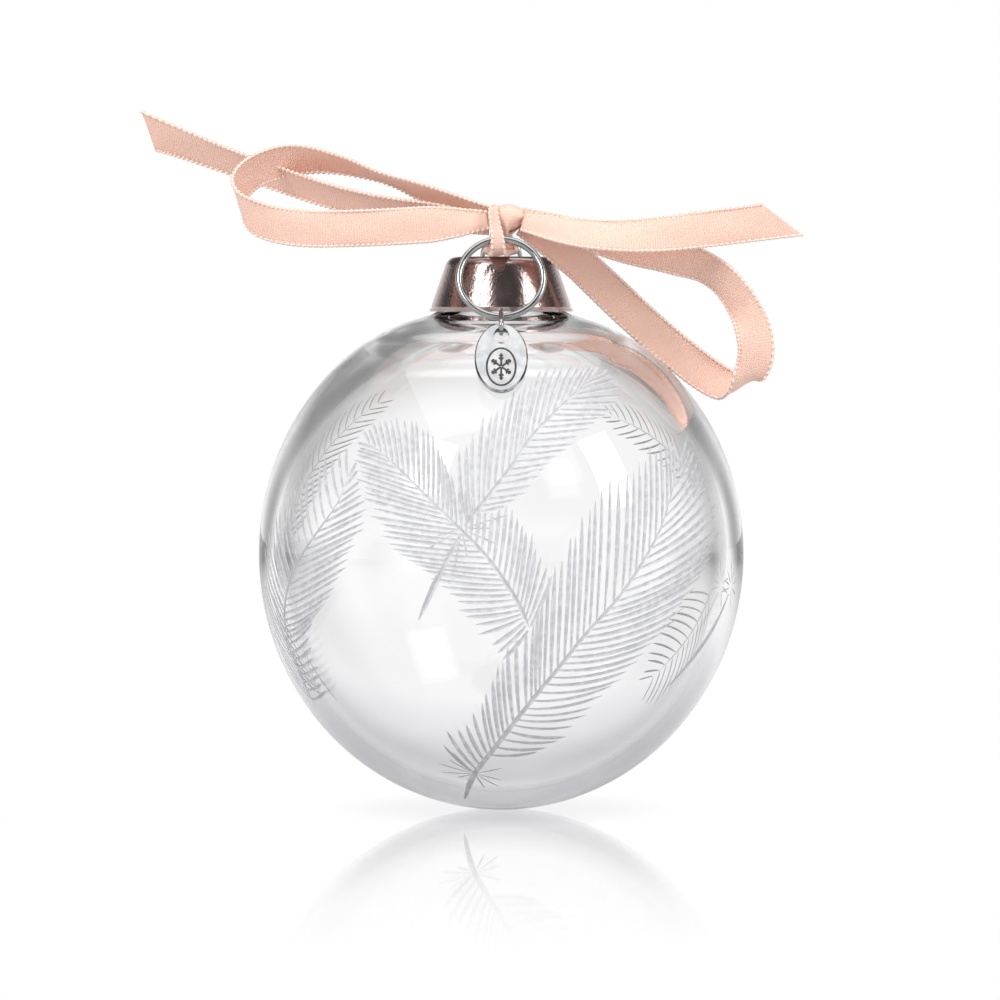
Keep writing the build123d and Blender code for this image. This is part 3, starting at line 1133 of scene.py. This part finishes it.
@dataclass(frozen=True)
class Knot:
    """The bow's knot: a band pinched narrow low on its front, wrapped round a soft core."""

    middle: Place = (0.95, -9.2, 97.1)
    left_reach: float = 3.1
    right_reach: float = 2.75
    left_pinch: float = 2.3
    right_pinch: float = 2.5
    pinch_turn: float = 250.0
    half_depth: float = 2.4
    half_height: float = 2.45
    sag: float = 0.75
    band: float = 0.35
    edge_tuck: float = 0.75
    core_radius: float = 1.75
    core_reach: float = 2.35

    def wrap(self) -> tuple[np.ndarray, np.ndarray]:
        """Rows of the pleated band and each point's place on the flat cloth."""
        turns = np.linspace(0, 2 * math.pi, 72, endpoint=False)
        across = np.linspace(-1, 1, 17)
        front_low = np.clip(np.cos(turns - math.radians(self.pinch_turn)), 0, 1) ** 1.2
        left = -self.left_reach + self.left_pinch * front_low
        right = self.right_reach - self.right_pinch * front_low
        x = (left + right)[:, None] / 2 + (right - left)[:, None] / 2 * across[None, :]
        pleat = (0.16 + 0.2 * front_low)[:, None] * np.sin(5.2 * across + 0.8)[None, :]
        tuck = self.edge_tuck * np.abs(across)[None, :] ** 5
        deep = (self.half_height + self.sag * np.clip(-np.sin(turns), 0, 1))[:, None]
        ry, rz = self.half_depth + pleat - tuck, deep + pleat - tuck
        cos, sin = np.cos(turns)[:, None], np.sin(turns)[:, None]
        outer = np.stack([x, ry * cos, rz * sin], -1)
        inner = np.stack([x, (ry - self.band) * cos, (rz - self.band) * sin], -1)
        rows = np.concatenate([outer, inner[:, ::-1]], axis=1) + np.array(self.middle)
        flat = np.concatenate([across, across[::-1]]) * 2.8
        return rows, np.stack(np.broadcast_arrays(turns[:, None] * 2.2, flat[None, :]), -1)

    def core(self) -> tuple[np.ndarray, np.ndarray]:
        """Rows of the soft core and each point's place on the flat cloth."""
        steps = np.linspace(0, math.pi, 18)[1:-1]
        circle = np.linspace(0, 2 * math.pi, 28, endpoint=False)
        swell = self.core_radius * np.sin(steps)[:, None]
        rows = np.stack([
            np.broadcast_to(-self.core_reach * np.cos(steps)[:, None], (len(steps), len(circle))),
            swell * np.cos(circle)[None, :], swell * np.sin(circle)[None, :]], -1)
        flat = np.stack(np.broadcast_arrays(circle[None, :] * 1.7, steps[:, None] * 2), -1)
        return rows + np.array(self.middle), flat

    def build(self, finishes: Finishes) -> bpy.types.Object:
        """Make the knot."""
        shell = Shell()
        rows, flat = self.wrap()
        shell.tube(rows, ring=True, spots=flat)
        rows, flat = self.core()
        shell.tube(rows, spots=flat)
        piece = shell.piece("satin_knot", (finishes.satin, finishes.selvedge))
        return place_piece(piece, Body.CAP, ["ribbon_knot"])


@dataclass(frozen=True)
class Bow:
    """Satin ribbon: two loops, two tails, the knot and the strand through the hanger."""

    half_width: float = 3.0
    thickness: float = 0.22
    columns: int = 9
    row_step: float = 0.5
    bead_pitch: float = 0.85
    bead_radius: float = 0.23
    bead_swell: float = 0.10
    bead_step: float = 0.12
    strand_route: Sequence[Place] = (
        (-1.0, -8.2, 99.1), (-1.3, -10.6, 99.6), (-1.3, -12.0, 98.3), (-1.05, -12.5, 96.4),
        (-0.6, -13.6, 94.6), (-0.5, -13.5, 92.1), (-0.4, -11.0, 91.35), (-0.2, -6.0, 91.75),
        (0.0, 1.7, 92.6), (0.0, 1.9, 95.0), (0.2, -3.0, 96.6), (0.5, -8.0, 97.6),
    )
    strand_widths: Sequence[float] = (
        0.6, 0.75, 0.95, 1.2, 1.4, 1.9, 2.9, 2.7, 1.9, 1.7, 1.7, 1.4,
    )
    knot: Knot = Knot()

    def width_vectors(self, stretch: Stretch, line: np.ndarray) -> np.ndarray:
        """Width vector at each point of a stretch's line, square to the line.

        Args:
            stretch: The stretch.
            line: Points along it.

        Returns:
            One vector for each point; its length is the share of the full width.
        """
        route = np.array(stretch.route, float)
        run = distances(line)
        nearest = [run[np.argmin(np.linalg.norm(line - place, axis=1))] for place in route]
        nearest = np.maximum.accumulate(np.array(nearest) + np.arange(len(route)) * 1e-6)
        smooth = flowing(stretch.widths, 12)
        places = np.interp(np.linspace(0, len(route) - 1, len(smooth)),
                           np.arange(len(route)), nearest)
        given = np.stack([np.interp(run, places, column) for column in smooth.T], 1)
        size = np.linalg.norm(given, axis=1, keepdims=True)
        along = unit(np.gradient(line, axis=0))
        square = given - along * np.sum(given * along, axis=1, keepdims=True)
        return unit(square) * np.minimum(size, 1.0)

    def cloth(self, shell: Shell, line: np.ndarray, widths: np.ndarray, half: float,
              slant: float, cup: float, finish: int = 0) -> None:
        """Add a strip of ribbon as a thin closed skin.

        Args:
            shell: Where it goes.
            line: Points along its middle.
            widths: Width vector at each point.
            half: Half width where the vector's length is one.
            slant: How far the upper corner of the cut end stands out past the lower one.
            cup: How far the middle stands out of the line between the edges.
            finish: Index of the material.
        """
        run = distances(line)
        along = unit(np.gradient(line, axis=0))
        out = unit(np.cross(along, widths))
        across = np.linspace(-1, 1, self.columns)
        ripple = 0.12 * np.sin(run / 3.1)[:, None] * np.sin(across * 2.6)[None, :]
        bulge = cup * (1 - across[None, :] ** 2) + ripple
        ending = np.clip((run - run[-1] + 9) / 9, 0, 1) ** 2
        shear = ending[:, None] * across[None, :] * slant / 2
        half_skin = self.thickness / 2 * np.sqrt(np.clip(1.04 - across**2, 0.05, 1))
        middle = (line[:, None] + widths[:, None] * (across * half)[None, :, None]
                  + out[:, None] * bulge[..., None] + along[:, None] * shear[..., None])
        skin = out[:, None] * half_skin[None, :, None]
        rows = np.concatenate([middle + skin, (middle - skin)[:, ::-1]], axis=1)
        flat_across = np.concatenate([across, across[::-1]]) * half
        spots = np.stack(np.broadcast_arrays(run[:, None], flat_across[None, :]), axis=-1)
        shell.tube(rows, finish, spots=spots)

    def selvedge(self, shell: Shell, line: np.ndarray, widths: np.ndarray, half: float,
                 side: int, slant: float, finish: int = 1) -> None:
        """Add the beaded edge of a strip of ribbon.

        Args:
            shell: Where it goes.
            line: Points along the strip's middle.
            widths: Width vector at each point.
            half: Half width where the vector's length is one.
            side: 1 for the upper edge and -1 for the lower one.
            slant: Slant of the strip's cut end.
            finish: Index of the material.
        """
        run = distances(line)
        number = max(int(run[-1] / self.bead_step), 8)
        shares = np.linspace(0, 1, number)
        core, wide = at_shares(line, shares), np.stack(
            [np.interp(shares * run[-1], run, column) for column in widths.T], 1)
        ran = shares * run[-1]
        along = unit(np.gradient(core, axis=0))
        ending = np.clip((ran - run[-1] + 9) / 9, 0, 1) ** 2
        size = np.linalg.norm(wide, axis=1)
        edge = (core + unit(wide) * (side * (half * size - self.bead_radius))[:, None]
                + along * (ending * side * slant / 2)[:, None])
        out = unit(np.cross(along, wide))
        radius = self.bead_radius + self.bead_swell * np.cos(2 * math.pi * ran / self.bead_pitch)
        turn = np.linspace(0, 2 * math.pi, 6, endpoint=False)
        rows = (edge[:, None]
                + unit(wide)[:, None] * (np.cos(turn)[None, :] * radius[:, None])[..., None]
                + out[:, None] * (np.sin(turn)[None, :] * radius[:, None] * 1.25)[..., None])
        spots = np.stack(np.broadcast_arrays(ran[:, None], turn[None, :] * 0.15), axis=-1)
        shell.tube(rows, finish, spots=spots)

    def stretch_piece(self, stretch: Stretch, finishes: Finishes) -> tuple:
        """Make one free stretch.

        Args:
            stretch: The stretch.
            finishes: The ornament's finishes.

        Returns:
            The piece and its centreline in metres.
        """
        line = read_route(stretch.route)
        number = int(distances(line)[-1] / self.row_step)
        line = at_shares(line, np.linspace(0, 1, number))
        widths = self.width_vectors(stretch, line)
        shell = Shell()
        self.cloth(shell, line, widths, self.half_width, stretch.slant, stretch.cup)
        for side in (-1, 1):
            self.selvedge(shell, line, widths, self.half_width, side, stretch.slant)
        piece = shell.piece(f"satin_{stretch.node.removeprefix('ribbon_')}",
                            (finishes.satin, finishes.selvedge))
        place_piece(piece, Body.CAP, [stretch.node])
        return piece, line * MM

    def strand(self, finishes: Finishes) -> bpy.types.Object:
        """Make the gathered strand that runs down from the knot and through the hanger."""
        line = read_route(self.strand_route)
        run = distances(line)
        line = at_shares(line, np.linspace(0, 1, int(run[-1] / 0.25)))
        run = distances(line)
        places = np.linspace(0, run[-1], len(self.strand_widths))
        size = np.interp(run, places, self.strand_widths) / self.half_width
        widths = np.zeros((len(line), 3))
        widths[:, 0] = size
        shell = Shell()
        self.cloth(shell, line, widths, self.half_width, 0.0, 0.15)
        for side in (-1, 1):
            self.selvedge(shell, line, widths, self.half_width, side, 0.0)
        piece = shell.piece("satin_strand", (finishes.satin, finishes.selvedge))
        return place_piece(piece, Body.CAP, ["ribbon_strand"])

    def build(self, finishes: Finishes) -> None:
        """Make the whole bow."""
        made = [self.stretch_piece(stretch, finishes) for stretch in STRETCHES]
        others = [self.strand(finishes), self.knot.build(finishes)]
        for stretch, (piece, path) in zip(STRETCHES, made):
            others = []


# --- cap, hanger, ring, link and tag


def dress(node: str, material: bpy.types.Material) -> None:
    """Give a CAD node its finish."""
    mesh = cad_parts[node].data
    if not mesh.materials:
        mesh.materials.append(material)
    for number in range(len(mesh.materials)):
        mesh.materials[number] = material
    LOG.info("%s: dressed with %s", node, material.name)


@dataclass(frozen=True)
class Tag:
    """Oval tag that hangs from the link, with a snowflake in an oval line on its face."""

    top: Mark = (-22.1, 80.15)
    length: float = 14.4
    thickness: float = 0.8
    tilt: float = 42.0
    emblem_drop: float = 2.1
    oval: Mark = (2.3, 3.9)
    line_width: float = 0.32
    line_height: float = 0.06
    flake: Mark = (1.75, 2.75)
    arms: int = 6
    twigs: Sequence[Mark] = ((0.55, 0.42), (0.8, 0.3))
    twig_angle: float = 55.0

    def axes(self) -> tuple[np.ndarray, np.ndarray, np.ndarray]:
        """Directions across the tag, up along it and out of its face."""
        lean = math.radians(self.tilt)
        return (np.array([1.0, 0.0, 0.0]), np.array([0.0, math.sin(lean), math.cos(lean)]),
                np.array([0.0, -math.cos(lean), math.sin(lean)]))

    def middle(self) -> np.ndarray:
        """Middle of the tag."""
        return np.array([0.0, *self.top]) - self.axes()[1] * self.length / 2

    def finish(self) -> TagFinish:
        """The tag's two-part finish."""
        face = (self.thickness / 2 - 0.012) * MM
        return TagFinish(face, tuple(self.middle() * MM), tuple(self.axes()[2]))

    def line_rows(self, flat: np.ndarray, closed: bool) -> np.ndarray:
        """Rows of one raised line on the tag's face.

        Args:
            flat: Points of the line across and up the face, from the emblem's middle.
            closed: True for an oval.

        Returns:
            Array of rows, 6 points in a row, and 3.
        """
        across, up, out = self.axes()
        centre = self.middle() - up * self.emblem_drop + out * self.thickness / 2
        if closed:
            along = np.roll(flat, -1, axis=0) - np.roll(flat, 1, axis=0)
        else:
            along = np.gradient(flat, axis=0)
        along = unit(along)
        side = np.stack([-along[:, 1], along[:, 0]], 1) * self.line_width / 2
        corners = []
        for edge, level in ((1, -0.04), (1, 0.6), (0.5, 1.0), (-0.5, 1.0), (-1, 0.6), (-1, -0.04)):
            spot = flat + side * edge
            corners.append(centre + spot[:, :1] * across + spot[:, 1:] * up
                           + out * self.line_height * level)
        return np.stack(corners, axis=1)

    def emblem(self, finishes: Finishes) -> bpy.types.Object:
        """Make the oval line and the snowflake inside it."""
        shell = Shell()
        turn = np.linspace(0, 2 * math.pi, 96, endpoint=False)
        oval = np.stack([self.oval[0] * np.cos(turn), self.oval[1] * np.sin(turn)], 1)
        shell.tube(self.line_rows(oval, True), ring=True)
        stretch = np.array([1.0, self.flake[1] / self.flake[0]])
        for arm in range(self.arms):
            angle = math.radians(90 + 360 / self.arms * arm)
            aim = np.array([math.cos(angle), math.sin(angle)])
            strokes = [np.array([aim * 0.12, aim * self.flake[0]])]
            for place, twig in self.twigs:
                for lean in (-1, 1):
                    bend = angle + lean * math.radians(self.twig_angle)
                    foot = aim * self.flake[0] * place
                    end = foot + np.array([math.cos(bend), math.sin(bend)]) * twig
                    strokes.append(np.array([foot, end]))
            for stroke in strokes:
                line = at_shares(stroke * stretch, np.linspace(0, 1, 5))
                shell.tube(self.line_rows(line, False))
        piece = shell.piece("tag_emblem", (finishes.enamel,))
        return place_piece(piece, Body.TAG)

    def build(self, finishes: Finishes) -> None:
        """Dress the tag and make its emblem."""
        dress("charm_tag", finishes.tag)
        self.emblem(finishes)


def dress_metal(finishes: Finishes) -> None:
    """Give the cap, hanger, ring and link their finishes."""
    dress("cap_shell", finishes.cap)
    dress("wire_hanger", finishes.wire)
    dress("charm_ring", finishes.steel)
    dress("charm_link", finishes.steel)


# --- studio


@dataclass(frozen=True)
class SoftBox:
    """One soft box: where it hangs and its width and height in metres, its power in watts."""

    name: str
    place: Place
    size: Mark
    power: float


@dataclass(frozen=True)
class Studio:
    """Camera, pale glossy floor, bright surroundings and soft boxes."""

    eye: Place = (0.0, -0.800, 0.084)
    aim: Place = (-0.0002, 0.0, 0.0511)
    lens: float = 174.6
    floor_radius: float = 1.6
    mirror: float = 1.0
    mirror_reach: Mark = (0.012, 0.19)
    panels: int = 8
    boxes: Sequence[SoftBox] = (
        SoftBox("left_box", (-0.52, -0.62, 0.64), (0.32, 0.40), 4.6),
        SoftBox("right_box", (0.72, -0.42, 0.56), (0.28, 0.50), 3.6),
        SoftBox("top_box", (0.0, -0.05, 0.95), (1.1, 1.1), 4.6),
    )
    light_aim: Place = (0.0, 0.0, 0.06)

    def camera(self) -> None:
        """Place the camera."""
        data = bpy.data.cameras.new("camera")
        data.lens = self.lens
        data.sensor_width = 36.0
        data.clip_start = 0.01
        eye = bpy.data.objects.new("camera", data)
        bpy.context.scene.collection.objects.link(eye)
        eye.location = self.eye
        eye.rotation_euler = self.turn_to(np.array(self.aim) - np.array(self.eye))
        bpy.context.scene.camera = eye

    def panelled(self, board: Board, aside: bpy.types.NodeSocket,
                 ahead: bpy.types.NodeSocket) -> bpy.types.NodeSocket:
        """Brightness of the ring of white panels that stands round the ornament.

        Args:
            board: Board of the material or world.
            aside: Place or direction along X.
            ahead: Place or direction along Y.

        Returns:
            Grey value, bright in the middle of each panel and dark between two of them.
        """
        swing = board.math("ARCTAN2", aside, ahead)
        wave = board.math("COSINE", board.math("MULTIPLY", swing, float(self.panels)))
        wave = board.math("MULTIPLY_ADD", wave, 0.5, 0.5)
        return board.ramp(wave, ((0.0, 0.20), (0.22, 0.36), (0.5, 0.72), (0.74, 1.0)))

    def floor(self) -> None:
        """Lay a pale floor that mirrors what stands near its middle, with painted shade in its
        glow.
        """
        turn = np.linspace(0, 2 * math.pi, 96, endpoint=False)
        points = np.stack([np.cos(turn), np.sin(turn), np.zeros(96)], 1) * self.floor_radius
        mesh = bpy.data.meshes.new("studio_floor")
        mesh.from_pydata(points.tolist(), [], [tuple(range(96))])
        floor = bpy.data.objects.new("studio_floor", mesh)
        bpy.context.scene.collection.objects.link(floor)
        material, board = new_material("gloss_white")
        spot = board.add("ShaderNodeTexCoord").outputs["Object"]
        away = board.add("ShaderNodeVectorMath", {0: spot}, operation="LENGTH").outputs["Value"]
        near, far = self.mirror_reach
        fade = board.add(
            "ShaderNodeMapRange",
            {"Value": away, "From Min": near, "From Max": far, "To Min": self.mirror,
             "To Max": 0.0},
            interpolation_type="SMOOTHSTEP",
        ).outputs[0]
        grazing = board.add("ShaderNodeFresnel", {"IOR": 2.0}).outputs[0]
        fade = board.math("MULTIPLY", fade, grazing)
        # Painted contact shadow: the glow that the camera sees turns grey where the ornament
        # stands close over the floor.
        shade = board.add("ShaderNodeAmbientOcclusion", {"Distance": 0.012}, samples=6)
        white = board.ramp(shade.outputs["AO"], ((0.0, rgb(0.72, 0.72, 0.75)),
                                                 (0.7, rgb(1, 1, 1))))
        parts = board.add("ShaderNodeSeparateXYZ", {0: spot})
        # Painted shade: for every ray but the camera's, the floor glows darkest round the
        # ornament's foot.
        painted_foot_shade = board.ramp(away, ((0.03, rgb(0.58, 0.58, 0.61)), (0.07, rgb(0.76, 0.76, 0.79)),
                                  (0.14, rgb(0.95, 0.95, 0.96)), (0.4, rgb(1, 1, 1))))
        # Painted light: further out, that glow takes the bright and dark bands of the panel ring.
        panels = self.panelled(board, parts.outputs[0], parts.outputs[1])
        far_off = board.add("ShaderNodeMapRange", {"Value": away, "From Min": 0.16,
                                                   "From Max": 0.7}).outputs[0]
        panels = board.blend(far_off, rgb(1, 1, 1), panels)
        painted_shade_and_bands = board.add("ShaderNodeVectorMath", {0: painted_foot_shade, 1: panels},
                         operation="MULTIPLY").outputs[0]
        seen = board.add("ShaderNodeLightPath").outputs["Is Camera Ray"]
        glow = board.add("ShaderNodeEmission", {0: board.blend(seen, painted_shade_and_bands, white), 1: 1.0})
        gloss = board.add("ShaderNodeBsdfGlossy", {"Color": rgb(1, 1, 1), "Roughness": 0.04})
        mix = board.add("ShaderNodeMixShader", {0: fade, 1: glow.outputs[0],
                                                2: gloss.outputs[0]})
        board.add("ShaderNodeOutputMaterial", {0: mix.outputs[0]})
        mesh.materials.append(material)

    def surroundings(self) -> None:
        """White behind the ornament, greyer to the sides and in front of it."""
        world = bpy.data.worlds.new("studio")
        world.use_nodes = True
        board = Board(world.node_tree)
        way = board.add("ShaderNodeTexCoord").outputs["Generated"]
        parts = board.add("ShaderNodeSeparateXYZ", {0: way})
        around = self.panelled(board, parts.outputs[0], parts.outputs[1])
        rise = board.math("MULTIPLY_ADD", parts.outputs[2], 0.5, 0.5)
        aloft = board.ramp(rise, ((0.5, 0.0), (0.56, 0.0), (0.62, 0.55), (0.8, 0.6),
                                  (0.93, 1.0)))
        sky = board.ramp(rise, ((0.6, 0.45), (0.75, 0.32), (0.9, 0.9)))
        through = board.blend(aloft, around, sky)
        mirrored = board.ramp(rise, ((0.50, 1.0), (0.585, 1.0), (0.66, 0.10), (0.86, 0.12),
                                     (0.95, 0.8)))
        path = board.add("ShaderNodeLightPath")
        inside = board.math("GREATER_THAN", path.outputs["Transmission Depth"], 0.5)
        lit = board.blend(inside, mirrored, through)
        colour = board.blend(path.outputs["Is Camera Ray"], lit, rgb(1, 1, 1))
        glow = board.add("ShaderNodeBackground", {0: colour, 1: 1.0})
        board.add("ShaderNodeOutputWorld", {0: glow.outputs[0]})
        bpy.context.scene.world = world

    @staticmethod
    def turn_to(gaze: np.ndarray) -> tuple[float, float, float]:
        """Rotation that makes a camera or a light look along a direction."""
        drop = math.atan2(gaze[2], math.hypot(gaze[0], gaze[1]))
        swing = math.atan2(gaze[0], gaze[1])
        return (math.pi / 2 + drop, 0.0, -swing)

    def hang(self, box: SoftBox) -> None:
        """Hang one soft box that faces the ornament."""
        data = bpy.data.lights.new(box.name, "AREA")
        data.shape = "RECTANGLE"
        data.size, data.size_y = box.size
        data.energy = box.power
        light = bpy.data.objects.new(box.name, data)
        bpy.context.scene.collection.objects.link(light)
        light.location = box.place
        light.visible_transmission = False
        light.rotation_euler = self.turn_to(np.array(self.light_aim) - np.array(box.place))

    def build(self) -> None:
        """Set up the whole studio."""
        self.camera()
        self.floor()
        self.surroundings()
        for box in self.boxes:
            self.hang(box)
        settings = bpy.context.scene.view_settings
        settings.view_transform = "Standard"


def main() -> None:
    """Build the ornament, piece by piece."""
    logging.basicConfig(level=logging.INFO, format="%(name)s: %(message)s")
    tag = Tag()
    Studio().build()
    finishes = Finishes(tag.finish())
    Bow().build(finishes)
    GlassBall().build(finishes)
    dress_metal(finishes)
    tag.build(finishes)


if __name__ == "__main__":
    main()
